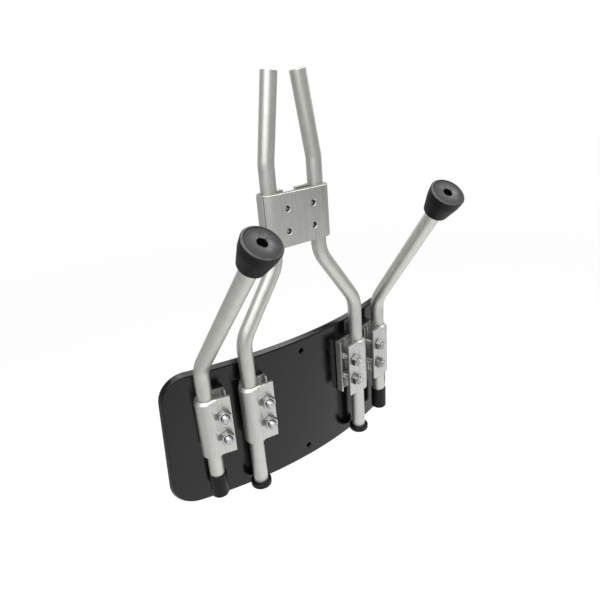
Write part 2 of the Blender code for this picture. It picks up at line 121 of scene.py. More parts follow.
def rounded(corners, radii, steps):
    """Rounds a line's corners with arcs that touch both sides of a corner.

    An arc's centre lies on the corner's bisector, radius / sin(half angle) from the corner, and
    its points turn evenly from one touching spot to the other. A radius of 0 keeps the corner.
    """
    corners = np.asarray(corners, float)
    radii = np.asarray(radii, float)[:, None]
    before = np.roll(corners, 1, 0) - corners
    after = np.roll(corners, -1, 0) - corners
    before /= np.linalg.norm(before, axis=1, keepdims=True)
    after /= np.linalg.norm(after, axis=1, keepdims=True)
    half = np.arccos(np.clip((before * after).sum(1, keepdims=True), -1, 1)) / 2
    bisector = before + after
    bisector /= np.maximum(np.linalg.norm(bisector, axis=1, keepdims=True), NEVER_ZERO)
    centre = corners + bisector * radii / np.sin(half)
    start = corners + before * radii / np.tan(half) - centre
    end = corners + after * radii / np.tan(half) - centre
    share = np.linspace(0, 1, steps)[:, None, None]
    sweep = np.pi - 2 * half
    blend = np.sin((1 - share) * sweep) * start + np.sin(share * sweep) * end
    arcs = centre + blend / np.maximum(np.sin(sweep), NEVER_ZERO)
    points = arcs.transpose(1, 0, 2).reshape(-1, corners.shape[1])
    apart = np.linalg.norm(points - np.roll(points, 1, 0), axis=1)
    return points[apart > SAME_POINT]


def tube(line, flat):
    """A tube's grid along a line that bends in one plane, whose normal is flat.

    Each row is a circle spanned by flat and by flat crossed with the line's direction. The rows go
    along the outside, over the deburred end, back along the inside and out over the other end.
    """
    hop = np.diff(line, axis=0)
    hop /= np.linalg.norm(hop, axis=1, keepdims=True)
    run = np.vstack([hop[:1], hop[:1], hop[:-1] + hop[1:], hop[-1:], hop[-1:]])
    run /= np.linalg.norm(run, axis=1, keepdims=True)
    near, far = line[:1] + TUBE_DEBUR * hop[:1], line[-1:] - TUBE_DEBUR * hop[-1:]
    middle = np.vstack([line[:1], near, line[1:-1], far, line[-1:]])
    turn = np.arange(TUBE_SIDES) * 2 * np.pi / TUBE_SIDES
    flat = np.asarray(flat, float)
    circle = np.cos(turn)[:, None] * flat + np.sin(turn)[:, None] * np.cross(run, flat)[:, None]
    debur = np.zeros(len(middle))
    debur[[0, -1]] = TUBE_DEBUR
    radius = np.concatenate([TUBE_R - debur, (TUBE_R - TUBE_WALL + debur)[::-1]])
    middle = np.concatenate([middle, middle[::-1]])
    return middle[:, None] + radius[:, None, None] * np.concatenate([circle, circle[::-1]])


def skin(name, grid, ends="points"):
    """A closed mesh over a grid of points: rows by columns, and the columns always run round.

    Its rows end in "points", where an end row lies on itself, in flat "faces", or join as a "ring".
    The UV map gives metres: along the rows in U, and round the widest row in V.
    """
    rows, columns = grid.shape[:2]
    lanes = rows if ends == "ring" else rows - 1
    row, column = np.meshgrid(np.arange(lanes), np.arange(columns), indexing="ij")
    corner_row = np.stack([row, row, row + 1, row + 1], -1)
    corner_column = np.stack([column, column + 1, column + 1, column], -1)
    quads = corner_row % rows * columns + corner_column % columns
    along = np.linalg.norm(np.diff(grid[:, :1], axis=0, append=grid[:1, :1]), axis=2)[:, 0]
    round_row = np.linalg.norm(np.roll(grid, -1, 1) - grid, axis=2)
    widest = round_row[round_row.sum(1).argmax()]
    distance_along = np.concatenate([[0], np.cumsum(along)])
    distance_round = np.concatenate([[0], np.cumsum(widest)])
    metres = np.stack([distance_along[corner_row], distance_round[corner_column]], -1)
    faces = quads.reshape(-1, 4).tolist()
    if ends == "faces":
        faces += [list(range(columns)), list(range((rows - 1) * columns, rows * columns))]
    mesh = bpy.data.meshes.new(name)
    mesh.from_pydata(grid.reshape(-1, 3).tolist(), [], faces)
    chart = np.zeros((len(mesh.loops), 2))
    chart[:quads.size] = metres.reshape(-1, 2)
    mesh.uv_layers.new(name="surface").data.foreach_set("uv", chart.ravel())
    shape = bmesh.new()
    shape.from_mesh(mesh)
    bmesh.ops.remove_doubles(shape, verts=shape.verts, dist=MERGE_WITHIN)
    bmesh.ops.recalc_face_normals(shape, faces=shape.faces)
    shape.to_mesh(mesh)
    shape.free()
    mesh.shade_smooth()
    mesh.set_sharp_from_angle(angle=SHARP_ANGLE)
    piece = bpy.data.objects.new(name, mesh)
    bpy.context.collection.objects.link(piece)
    piece.modifiers.new("flat faces stay flat", "WEIGHTED_NORMAL").keep_sharp = True
    return piece


# Satin anodised drawn aluminium: a soft metal with long faint draw lines and slightly uneven etch,
# so highlights are broad and a little streaked. The lines are 0.2 mm apart and drawn at 1.1 mm to show.
anodised, tree, shader = started("satin_anodised_drawn_aluminium")
surface = add(tree, "UVMap", {}, uv_map="surface")
lines_at = add(tree, "Mapping", {"Vector": surface.outputs["UV"],
                                 "Scale": (1 / DRAW_LINE_LENGTH, 1 / DRAW_LINE, 1)})
draw_lines = add(tree, "TexNoise", {"Vector": lines_at.outputs["Vector"], "Scale": 1.0, "Detail": 2.0})
place = add(tree, "TexCoord", {})
etch = add(tree, "TexNoise", {"Vector": place.outputs["Object"], "Scale": 1 / ETCH_PATCH, "Detail": 4.0})
tone = add(tree, "Mix", {0: etch.outputs["Fac"], 6: linear(ANODISED_DEEP), 7: linear(ANODISED_PALE)},
           data_type="RGBA")
satin = add(tree, "MapRange", {"Value": draw_lines.outputs["Fac"], **NOISE_SPAN,
                               "To Min": 0.38, "To Max": 0.50})
relief = add(tree, "Bump", {"Height": draw_lines.outputs["Fac"], "Strength": 0.22, "Distance": 0.00006})
feed(shader, {"Base Color": tone.outputs[2], "Metallic": 1.0, "Roughness": satin.outputs["Result"],
              "Normal": relief.outputs["Normal"]})

for hand, side in SIDES:
    corners = [(UPRIGHT_X, UPRIGHT_FOOT_Z), (UPRIGHT_X, UPRIGHT_SPLAY_Z), (CHEST_X, UPRIGHT_GATHER_Z),
               (CHEST_X, UPRIGHT_LEAN_Z), (UPRIGHT_TOP_X, 0.0)]
    route = rounded([(-side * x, 0.0, z) for x, z in corners], [0, BEND_R, BEND_R, BEND_R, 0], BEND_STEPS)
    upright = skin("bent_upright_" + hand, tube(route, (0, 1, 0)), "ring")
    upright.data.materials.append(anodised)
    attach(upright, "uprights")
    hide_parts("upright_" + hand)

# Foot plugs
# Moulded black vinyl plugs pushed into the uprights' lower ends. A wider rim with a low sloping
# collar covers the cut edge, and the underside is domed.
PLUG_STEM_R = 0.0062
PLUG_STEM = 0.016
PLUG_R = 0.0116
PLUG_RIM = 0.0035
PLUG_DOME = 0.004
PLUG_SEAT = 0.0003
PLUG_COLLAR = 0.0016
PLUG_COLLAR_R = 0.0082
PLUG_SLOPE = 0.0010
PLUG_ROUNDS = [0, 0.0006, 0.0003, 0, 0, 0.0012, 0]
VINYL = "#050506"
VINYL_WORN = "#0C0C0D"
VINYL_SCUFF = 0.004
VINYL_PEBBLE = 0.0007


def turned(profile, sides):
    """A (radius, height) profile carried round Z: x and y are the radius times cosine and sine."""
    turn = np.arange(sides) * 2 * np.pi / sides
    radius, height = profile[:, :1], profile[:, 1:]
    return np.stack([radius * np.cos(turn), radius * np.sin(turn), height + 0 * turn], -1)


def placed(grid, place, tilt=0.0, turn=0.0):
    """Leans a grid about X by tilt, turns it about Z and moves it: p -> Rz(turn) Rx(tilt) p + place."""
    spin = Matrix.Rotation(turn, 3, "Z") @ Matrix.Rotation(tilt, 3, "X")
    return grid @ np.array(spin).T + np.asarray(place)


# Dip-moulded black vinyl: smooth and half gloss, with faint hand wear that lightens and dulls it. The
# scuffs are about 4 mm across, and the skin's fine pebble is drawn at 0.7 mm to show.
vinyl, tree, shader = started("moulded_black_vinyl")
place = add(tree, "TexCoord", {})
scuffs = add(tree, "TexNoise", {"Vector": place.outputs["Object"], "Scale": 1 / VINYL_SCUFF, "Detail": 5.0})
tone = add(tree, "Mix", {0: scuffs.outputs["Fac"], 6: linear(VINYL), 7: linear(VINYL_WORN)}, data_type="RGBA")
gloss = add(tree, "MapRange", {"Value": scuffs.outputs["Fac"], **NOISE_SPAN,
                               "To Min": 0.32, "To Max": 0.50})
pebble = add(tree, "TexNoise", {"Vector": place.outputs["Object"], "Scale": 1 / VINYL_PEBBLE, "Detail": 2.0})
relief = add(tree, "Bump", {"Height": pebble.outputs["Fac"], "Strength": 0.2, "Distance": 0.0001})
feed(shader, {"Base Color": tone.outputs[2], "IOR": 1.53, "Specular IOR Level": 0.22,
              "Roughness": gloss.outputs["Result"], "Normal": relief.outputs["Normal"]})

dome = np.linspace(0, np.pi / 2, num=12)
rim_low = -PLUG_SEAT - PLUG_RIM
dome_height = rim_low - PLUG_DOME + PLUG_DOME * (1 - np.cos(dome))
plug_dome = np.column_stack([PLUG_R * np.sin(dome), dome_height])
plug_corners = [(PLUG_R, rim_low), (PLUG_R, PLUG_COLLAR - PLUG_SLOPE), (PLUG_COLLAR_R, PLUG_COLLAR),
                (PLUG_COLLAR_R, -PLUG_SEAT), (PLUG_STEM_R, -PLUG_SEAT), (PLUG_STEM_R, PLUG_STEM),
                (0, PLUG_STEM)]
plug_top = rounded(plug_corners, PLUG_ROUNDS, steps=5)
plug_grid = turned(np.vstack([plug_dome, plug_top[1:]]), sides=48)
for hand, side in SIDES:
    spot = (-side * UPRIGHT_X, 0.0, UPRIGHT_FOOT_Z)
    plug = skin("foot_plug_" + hand + "_moulded", placed(plug_grid, spot))
    plug.data.materials.append(vinyl)
    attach(plug, "uprights")
    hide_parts("foot_plug_" + hand)

# Chest plate
# A short length of extruded aluminium bar across the front of the uprights. Its ends are rolled
# round the tubes, two grooves seat them from behind, and four tapped holes take the saddle screws.
BORE_R = 0.00806
SADDLE_R = 0.0123
CHEST_Z = -0.133926
CHEST_HALF = 0.0265
CHEST_BACK = -0.0057
CHEST_SCREW_X = 0.0158
CHEST_SCREW_RISE = 0.0112
TAP_R = 0.0028
TAP_MOUTH = 0.0011
DRILL_TOP = 0.003
DRILL_PROUD = 0.001
DRILL_DEPTH = 0.02
CHEST_ROUND = 0.0005
SAW_EASE = 0.0004
SAW_FADE = 0.001
SAW_LEAST = 0.3
EASE_STEPS = 7
EASE_STRAIGHT, EASE_ROUND = 0.8, 0.2
EXTRUDED_PALE = "#D0D0CC"
EXTRUDED_DEEP = "#BABAB6"
EXTRUDED_SAWN = "#8A8A86"
DIE_LINE = 0.0008
DIE_LINE_LENGTH = 0.05
FROST_PIT = 0.0012


def bow(middle, radius, start, end, count):
    """Points on a circle's arc, from one angle to the other in even steps."""
    turn = np.linspace(start, end, count)
    return np.column_stack([middle[0] + radius * np.cos(turn), middle[1] + radius * np.sin(turn)])


def bar(outline, low, high, low_ease, high_ease, steep=1.0):
    """A section carried up Z between two sawn ends whose edges are eased by a bevel with round corners.

    Each point moves in along the outline's corner normal by ease * (1 - a) while the height goes in by
    ease * (1 - b), where (a, b) runs from (0, 1) at the end face to (1, 0) at the side, between a straight
    bevel and a quarter round. Steep deepens the upper end. Eases have one value for each outline point.
    """
    ahead = np.roll(outline, -1, 0) - outline
    ahead /= np.linalg.norm(ahead, axis=1, keepdims=True)
    normal = np.column_stack([-ahead[:, 1], ahead[:, 0]])
    both = normal + np.roll(normal, 1, 0)
    inward = 2 * both / (both ** 2).sum(1, keepdims=True)
    nearby = np.roll(outline, -1, 0)
    inward *= np.sign((outline[:, 0] * nearby[:, 1] - nearby[:, 0] * outline[:, 1]).sum())
    share = np.linspace(0, 1, EASE_STEPS)[:, None]
    aside = EASE_STRAIGHT * share + EASE_ROUND * np.sin(share * np.pi / 2)
    deep = aside[::-1]
    inset = np.vstack([low_ease * (1 - aside), high_ease * (1 - deep)])
    height = np.vstack([low + low_ease * (1 - deep), high - steep * high_ease * (1 - aside)])
    return np.dstack([outline + inset[:, :, None] * inward, height])


def drill(piece, cutter):
    """Takes a cutter's solid out of a piece with an exact Boolean, whose result becomes the mesh."""
    hole = piece.modifiers.new("drill", "BOOLEAN")
    hole.object = cutter
    hole.solver = "EXACT"
    piece.data = bpy.data.meshes.new_from_object(piece.evaluated_get(bpy.context.evaluated_depsgraph_get()))
    piece.modifiers.remove(hole)
    bpy.data.objects.remove(cutter)


# Extruded aluminium, tumbled after sawing: fine die lines run up the bar, the tumbling leaves a mottled
# frost, and the sawn ends are duller. Die lines are 0.1 mm and drawn at 0.8 mm, the frost's pits
# 0.3 mm drawn at 1.2 mm.
extruded, tree, shader = started("tumbled_extruded_aluminium")
place = add(tree, "TexCoord", {})
lines_at = add(tree, "Mapping", {"Vector": place.outputs["Object"],
                                 "Scale": (1 / DIE_LINE, 1 / DIE_LINE, 1 / DIE_LINE_LENGTH)})
die_lines = add(tree, "TexNoise", {"Vector": lines_at.outputs["Vector"], "Scale": 1.0, "Detail": 2.0})
frost = add(tree, "TexNoise", {"Vector": place.outputs["Object"], "Scale": 1 / FROST_PIT, "Detail": 3.0})
marks = add(tree, "Math", {0: die_lines.outputs["Fac"], 1: frost.outputs["Fac"]}, operation="ADD")
tone = add(tree, "MapRange", {"Value": marks.outputs["Value"], "From Min": 0.7, "From Max": 1.3})
drawn = add(tree, "Mix", {0: tone.outputs["Result"], 6: linear(EXTRUDED_DEEP), 7: linear(EXTRUDED_PALE)},
            data_type="RGBA")
facing = add(tree, "SeparateXYZ", {"Vector": place.outputs["Normal"]})
end_on = add(tree, "Math", {0: facing.outputs["Z"]}, operation="ABSOLUTE")
sawn = add(tree, "MapRange", {"Value": end_on.outputs["Value"], "From Min": 0.985, "From Max": 0.998})
metal = add(tree, "Mix", {0: sawn.outputs["Result"], 6: drawn.outputs[2], 7: linear(EXTRUDED_SAWN)},
            data_type="RGBA")
frosted = add(tree, "MapRange", {"Value": frost.outputs["Fac"], **NOISE_SPAN,
                                 "To Min": 0.36, "To Max": 0.50})
satin = add(tree, "MapRange", {"Value": sawn.outputs["Result"], "To Min": frosted.outputs["Result"],
                               "To Max": 0.62})
relief = add(tree, "Bump", {"Height": marks.outputs["Value"], "Strength": 0.35, "Distance": 0.00006})
feed(shader, {"Base Color": metal.outputs[2], "Metallic": 1.0, "Roughness": satin.outputs["Result"],
              "Normal": relief.outputs["Normal"]})

end_angle = np.arcsin(CHEST_BACK / SADDLE_R)
groove_angle = np.arcsin(CHEST_BACK / BORE_R)
chest_front = np.vstack([bow((-CHEST_X, 0), SADDLE_R, -np.pi - end_angle, -np.pi / 2, count=14),
                         bow((CHEST_X, 0), SADDLE_R, -np.pi / 2, end_angle, count=14)])
chest_back = np.vstack([bow((x, 0), BORE_R, groove_angle, -np.pi - groove_angle, count=28)
                        for x in (CHEST_X, -CHEST_X)])
chest_outline = np.vstack([chest_front, chest_back])
chest_ease = np.zeros(len(chest_outline))
chest_ease[[0, len(chest_front) - 1]] = CHEST_ROUND
chest_outline = rounded(chest_outline, chest_ease, steps=4)
saw_ease = SAW_EASE * np.clip((CHEST_BACK - chest_outline[:, 1]) / SAW_FADE, SAW_LEAST, 1)
grid = bar(chest_outline, CHEST_Z - CHEST_HALF, CHEST_Z + CHEST_HALF, saw_ease, saw_ease)
chest = skin("chest_plate_drilled", grid, "faces")
tap = np.array([(0, DRILL_TOP), (TAP_R + TAP_MOUTH + DRILL_PROUD, DRILL_PROUD), (TAP_R, -TAP_MOUTH),
                (TAP_R, -DRILL_DEPTH), (0, -DRILL_DEPTH)])
for x in (-CHEST_SCREW_X, CHEST_SCREW_X):
    for rise in (-CHEST_SCREW_RISE, CHEST_SCREW_RISE):
        spot = (x, -SADDLE_R, CHEST_Z + rise)
        drill(chest, skin("tap", placed(turned(tap, sides=40), spot, np.pi / 2)))
chest.data.materials.append(extruded)
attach(chest, "uprights")
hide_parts("chest_plate")

# Chest saddles
# Two extruded aluminium saddles that wrap the uprights from behind. Each has an ear towards the
# middle, through which two socket screws pull it against the chest plate.
SADDLE_EAR_BACK = 0.0093
SADDLE_EAR_FRONT = 0.0053
SADDLE_GAP = 0.0152
SADDLE_ROUNDS = (0.0005, 0.0008, 0.0008, 0.0006, 0.0002)
FIT = 0.0003
SADDLE_LEG = CHEST_BACK + FIT
CLEARANCE_LOW = -0.008
ear_end = CHEST_X - SADDLE_GAP / 2
saddle_outer = bow((0, 0), SADDLE_R, np.pi - np.arcsin(SADDLE_LEG / SADDLE_R),
                   np.arcsin(SADDLE_EAR_BACK / SADDLE_R), count=36)
saddle_ear = [(ear_end, SADDLE_EAR_BACK), (ear_end, SADDLE_EAR_FRONT)]
saddle_inner = bow((0, 0), BORE_R, np.arcsin(SADDLE_EAR_FRONT / BORE_R),
                   np.pi - np.arcsin(SADDLE_LEG / BORE_R), count=48)
saddle_outline = np.vstack([saddle_outer, saddle_ear, saddle_inner])
ear_at = len(saddle_outer)
saddle_ease = np.zeros(len(saddle_outline))
saddle_ease[[0, ear_at, ear_at + 1, ear_at + 2, -1]] = SADDLE_ROUNDS
saddle_outline = rounded(saddle_outline, saddle_ease, steps=4)
saw_ease = SAW_EASE * np.clip((saddle_outline[:, 1] - SADDLE_LEG) / SAW_FADE, SAW_LEAST, 1)
clearance = np.array([(0, CLEARANCE_LOW), (TAP_R, CLEARANCE_LOW), (TAP_R, DRILL_DEPTH), (0, DRILL_DEPTH)])
for hand, side in SIDES:
    outline = (saddle_outline - (CHEST_X, 0)) * (side, 1)
    grid = bar(outline, CHEST_Z - CHEST_HALF, CHEST_Z + CHEST_HALF, saw_ease, saw_ease)
    saddle = skin("chest_saddle_" + hand + "_drilled", grid, "faces")
    for rise in (-CHEST_SCREW_RISE, CHEST_SCREW_RISE):
        spot = (-side * CHEST_SCREW_X, 0.0, CHEST_Z + rise)
        drill(saddle, skin("clearance", placed(turned(clearance, sides=32), spot, -np.pi / 2)))
    saddle.data.materials.append(extruded)
    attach(saddle, "uprights")
    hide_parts("chest_saddle_" + hand)

# Chest screws
# Four M5 socket head cap screws in zinc-plated steel, driven from behind through the saddles' ears
# into the chest plate, with knurled heads and a 4 mm hexagon socket.
SCREW_R = 0.0025
SCREW_PITCH = 0.0008
SCREW_HEAD_R = 0.00425
SCREW_HEAD = 0.005
SCREW_KEY = 0.002
SCREW_KEY_DEPTH = 0.0025
SCREW_SIDES = 96
SCREW_EASE = 0.0003
SCREW_CROWN = 0.0004
SCREW_KNURL = 0.0001
SCREW_RIDGES = 32
KEY_EASE = 0.0002
KEY_CONE = 0.0006
THREAD_ROWS = 8
THREAD_DEPTH = 0.54
THREAD_SLOPE = 2.3
THREAD_ENTRY = 0.7
CHEST_SCREW_LENGTH = 0.0179
ZINC_BRIGHT = "#C6C7C8"
ZINC_DEEP = "#8F908F"
ZINC_CLOUD = 0.003


def hexagon(flat, turn):
    """A hexagon's radius at an angle: the flat distance over the cosine of the angle from that side."""
    return flat / np.cos((turn + np.pi / 6) % (np.pi / 3) - np.pi / 6)


def thread(radius, pitch, low, high, turn):
    """A screw thread's radius and height: the crest drops in a V once per pitch of height and turn.

    The depth is a share of the pitch, and the last pitch at the low end narrows to a point of entry.
    """
    height = np.linspace(low, high, int((high - low) / pitch * THREAD_ROWS))[:, None] + 0 * turn
    phase = (height / pitch - turn / (2 * np.pi)) % 1
    depth = THREAD_DEPTH * pitch * np.clip(THREAD_SLOPE / 2 - THREAD_SLOPE * np.abs(phase - 0.5), 0, 1)
    entry = np.clip(pitch - (height - low), 0, pitch) * THREAD_ENTRY
    return radius - np.maximum(depth, entry), height


def socket_screw(length):
    """A socket head screw's grid along Z, with its head seated on Z = 0 and its shank below.

    Rows climb the thread, then the knurled head, and go down the hexagon socket to its floor.
    """
    turn = np.arange(SCREW_SIDES) * 2 * np.pi / SCREW_SIDES
    shank, height = thread(SCREW_R, SCREW_PITCH, -length, 0, turn)
    knurl = SCREW_HEAD_R - SCREW_KNURL + SCREW_KNURL * np.cos(SCREW_RIDGES * turn)
    key = hexagon(SCREW_KEY, turn)
    key_floor = SCREW_HEAD - SCREW_KEY_DEPTH
    eased = SCREW_HEAD_R - SCREW_EASE
    head = [(eased, 0), (knurl, SCREW_EASE), (knurl, SCREW_HEAD - 2 * SCREW_CROWN),
            (eased, SCREW_HEAD - SCREW_CROWN), (eased - SCREW_CROWN, SCREW_HEAD),
            (key + KEY_EASE, SCREW_HEAD), (key, SCREW_HEAD - KEY_EASE), (key, key_floor),
            (0, key_floor - KEY_CONE)]
    radius = np.vstack([0 * turn, shank] + [row + 0 * turn for row, rise in head])
    height = np.vstack([height[0], height] + [rise + 0 * turn for row, rise in head])
    return np.stack([radius * np.cos(turn), radius * np.sin(turn), height], -1)


# Zinc-plated steel, passivated clear: a bright cool metal with soft cloudy patches about 3 mm across.
zinc, tree, shader = started("bright_zinc_plated_steel")
place = add(tree, "TexCoord", {})
cloud = add(tree, "TexNoise", {"Vector": place.outputs["Object"], "Scale": 1 / ZINC_CLOUD, "Detail": 4.0})
tone = add(tree, "Mix", {0: cloud.outputs["Fac"], 6: linear(ZINC_DEEP), 7: linear(ZINC_BRIGHT)},
           data_type="RGBA")
polish = add(tree, "MapRange", {"Value": cloud.outputs["Fac"], **NOISE_SPAN,
                                "To Min": 0.08, "To Max": 0.20})
feed(shader, {"Base Color": tone.outputs[2], "Metallic": 1.0, "Roughness": polish.outputs["Result"]})

for hand, side in SIDES:
    for row, rise in (("upper", CHEST_SCREW_RISE), ("lower", -CHEST_SCREW_RISE)):
        spot = (-side * CHEST_SCREW_X, SADDLE_EAR_BACK + FIT, CHEST_Z + rise)
        screw = skin(f"saddle_screw_{hand}_{row}", placed(socket_screw(CHEST_SCREW_LENGTH), spot, -np.pi / 2))
        screw.data.materials.append(zinc)
        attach(screw, "uprights")
        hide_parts(f"chest_screw_{hand}_{row}")

# Belly plate
# A 6 mm sheet of black plastic, moulded to a shallow curve that fits the wearer, with round corners,
# ends that slant outwards to the bottom, a rounded edge, eight sunk bolt holes and two spare holes.
PLATE_RADIUS = 0.460
PLATE_MIDDLE = np.array([0.0, 0.467534, -0.355757])
PLATE_WIDTH = 0.336
PLATE_HEIGHT = 0.164
PLATE_THICK = 0.006
PLATE_CORNER = 0.030
PLATE_BEVEL = 0.0034
PLATE_BEVEL_DEEP = 0.0042
PLATE_BACK_ROUND = 0.0013
PLATE_FRONT_ROUND = 0.0025
PLATE_SIDE_ROUND = 0.0012
PLATE_SLANT = np.tan(np.radians(3.3))
PLATE_FLAT_END = 0.008
PLATE_EDGE_START = 0.007
CORNER_STEPS, RUN_STEPS, RISE_STEPS = 12, 72, 36
SPARE_HOLE_R = 0.0028
SPARE_HOLE_RISE = 0.065
SPARE_TOP = 0.004
SPARE_MOUTH = 0.0012
BOLT_R = 0.004
BOLT_HOLE_R = 0.0043
BOLT_HEAD_R = 0.0075
BOLT_HEAD_RIM = 0.0004
BOLT_RECESS = 0.0006
BOLT_OFFSET = 0.014761
BOLT_RISE = 0.01275
CLAMP_REACH = 0.4736
CLAMP_Z = -0.332057
CLAMP_TURNS = (("inner", 0.160217), ("outer", 0.260689))
CLAMPS = [(f"{row}_{hand}", side, -side * angle) for hand, side in SIDES for row, angle in CLAMP_TURNS]
BOLT_HEAD = np.sqrt((PLATE_RADIUS - PLATE_THICK) ** 2 - BOLT_OFFSET ** 2) - CLAMP_REACH + BOLT_RECESS
PLASTIC = "#030305"
PLASTIC_RUBBED = "#08080B"
PLASTIC_PATCH = 0.035
PLASTIC_GRAIN = 0.0009
PLASTIC_WAVE = 0.045


def curved_sheet(width, height, corner, insets, depths, radius, draw=0.0):
    """A sheet's grid, wrapped round the plate's centre line: rows step in from the outline and back.

    At an inset d the outline is a rectangle d smaller all round with corner radius corner - d. Its x is
    spread by 1 - 2 z tan(slant) / width, then bent to the angle x / radius at the reach radius - depth.
    Draw pulls the sides in between the corners, by a parabola.
    """
    quarter = np.linspace(0, np.pi / 2, CORNER_STEPS)[:-1]
    run = np.linspace(1, -1, RUN_STEPS)[:-1]
    rise = np.linspace(1, -1, RISE_STEPS)[:-1]
    flat = np.vstack([np.column_stack(np.broadcast_arrays(x, z)) for x, z in
                      ((quarter * 0 + 1, 1), (run, 1), (quarter * 0 - 1, 1), (-1, rise),
                       (quarter * 0 - 1, -1), (-run, -1), (quarter * 0 + 1, -1), (1, -rise))])
    turn = np.concatenate([quarter, run * 0 + np.pi / 2, quarter + np.pi / 2, rise * 0 + np.pi,
                           quarter + np.pi, run * 0 + np.pi * 1.5, quarter + np.pi * 1.5, rise * 0])
    insets, depths = insets[:, None], depths[:, None]
    rim = np.maximum(corner - insets, 0)
    fade = np.clip(1 - insets / (height / 2), 0, 1) * draw
    x = flat[:, 0] * (width / 2 - insets - rim - fade * (1 - flat[:, 1] ** 2)) + rim * np.cos(turn)
    z = flat[:, 1] * (height / 2 - insets - rim - fade * (1 - flat[:, 0] ** 2)) + rim * np.sin(turn)
    angle = x * (1 - 2 * z * PLATE_SLANT / width) / radius
    reach = radius - depths
    return np.stack([reach * np.sin(angle), -reach * np.cos(angle), z], -1) + PLATE_MIDDLE


def by_clamp(bearing, across, height):
    """A spot by a clamp's tube, whose axis stands at a bearing from the plate's centre line.

    The axis is at CLAMP_REACH * (sin, -cos) of the bearing, and the spot lies across * (cos, sin) from it.
    """
    axis = PLATE_MIDDLE * (1, 1, 0) + (CLAMP_REACH * np.sin(bearing), -CLAMP_REACH * np.cos(bearing), height)
    return axis + across * np.array([np.cos(bearing), np.sin(bearing), 0])


# Moulded black ABS: half gloss with a fine spark-eroded grain, drawn at 0.9 mm, slow waves from the
# mould that wobble the reflections, and rubbed patches that are a little paler and glossier.
plastic, tree, shader = started("moulded_black_abs")
place = add(tree, "TexCoord", {})
rubbed = add(tree, "TexNoise", {"Vector": place.outputs["Object"], "Scale": 1 / PLASTIC_PATCH, "Detail": 5.0})
tone = add(tree, "Mix", {0: rubbed.outputs["Fac"], 6: linear(PLASTIC), 7: linear(PLASTIC_RUBBED)},
           data_type="RGBA")
gloss = add(tree, "MapRange", {"Value": rubbed.outputs["Fac"], **NOISE_SPAN,
                               "To Min": 0.21, "To Max": 0.15})
grain = add(tree, "TexNoise", {"Vector": place.outputs["Object"], "Scale": 1 / PLASTIC_GRAIN, "Detail": 2.0})
waves = add(tree, "TexNoise", {"Vector": place.outputs["Object"], "Scale": 1 / PLASTIC_WAVE, "Detail": 1.0})
fine = add(tree, "Bump", {"Height": grain.outputs["Fac"], "Strength": 0.25, "Distance": 0.00005})
relief = add(tree, "Bump", {"Height": waves.outputs["Fac"], "Strength": 0.3, "Distance": 0.002,
                            "Normal": fine.outputs["Normal"]})
feed(shader, {"Base Color": tone.outputs[2], "IOR": 1.50, "Specular IOR Level": 0.40,
              "Roughness": gloss.outputs["Result"], "Normal": relief.outputs["Normal"]})

across = np.linspace(PLATE_HEIGHT / 2, PLATE_FLAT_END, num=16)
edge_corners = [(PLATE_EDGE_START, 0), (PLATE_BEVEL, 0), (0, PLATE_BEVEL_DEEP), (0, PLATE_THICK),
                (PLATE_EDGE_START, PLATE_THICK)]
edge = rounded(edge_corners, [0, PLATE_FRONT_ROUND, PLATE_SIDE_ROUND, PLATE_BACK_ROUND, 0], steps=7)
plate_insets = np.concatenate([across, edge[:, 0], across[::-1]])
plate_depths = np.concatenate([across * 0, edge[:, 1], across * 0 + PLATE_THICK])
grid = curved_sheet(PLATE_WIDTH, PLATE_HEIGHT, PLATE_CORNER, plate_insets, plate_depths, PLATE_RADIUS)
plate = skin("belly_plate_moulded", grid)
spare = np.array([(0, SPARE_TOP), (SPARE_HOLE_R + 2 * SPARE_MOUTH, SPARE_MOUTH),
                  (SPARE_HOLE_R, -SPARE_MOUTH), (SPARE_HOLE_R, -DRILL_DEPTH), (0, -DRILL_DEPTH)])
for rise in (-SPARE_HOLE_RISE, SPARE_HOLE_RISE):
    spot = PLATE_MIDDLE + (0, -PLATE_RADIUS, rise)
    drill(plate, skin("spare", placed(turned(spare, sides=40), spot, np.pi / 2)))
cone_foot = BOLT_HEAD + BOLT_HEAD_RIM
sunk = np.array([(0, BOLT_HEAD - PLATE_THICK), (BOLT_HEAD_R + FIT, BOLT_HEAD - PLATE_THICK),
                 (BOLT_HEAD_R + FIT, cone_foot), (BOLT_HOLE_R, cone_foot + BOLT_HEAD_R - BOLT_R),
                 (BOLT_HOLE_R, 0), (0, 0)])
for name, side, bearing in CLAMPS:
    for rise in (-BOLT_RISE, BOLT_RISE):
        spot = by_clamp(bearing, side * BOLT_OFFSET, CLAMP_Z + rise)
        drill(plate, skin("sunk", placed(turned(sunk, sides=40), spot, np.pi / 2, bearing)))
plate.data.materials.append(plastic)
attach(plate, "belly")
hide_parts("belly_plate")

# Belly pad
# A sheet of black closed-cell foam glued to the plate's back, where it rests on the wearer. It is
# crowned towards the middle, has a hot-pressed groove along its edge, and its sides draw in a little.
PAD_MARGIN = 0.012
PAD_THICK = 0.010
PAD_CORNER = 0.024
PAD_RIM = 0.0078
PAD_ROUND = 0.003
PAD_GROOVE_IN = 0.011
PAD_GROOVE = 0.0016
PAD_GROOVE_HALF = 0.0018
PAD_CROWN_RUN = 0.014
PAD_FINE_END, PAD_COARSE_START = 0.026, 0.029
PAD_DRAW = 0.0012
FOAM = "#1A1A1B"
FOAM_CELL = "#101011"
FOAM_CELL_WIDTH = 0.0013
FOAM_RUMPLE = 0.012
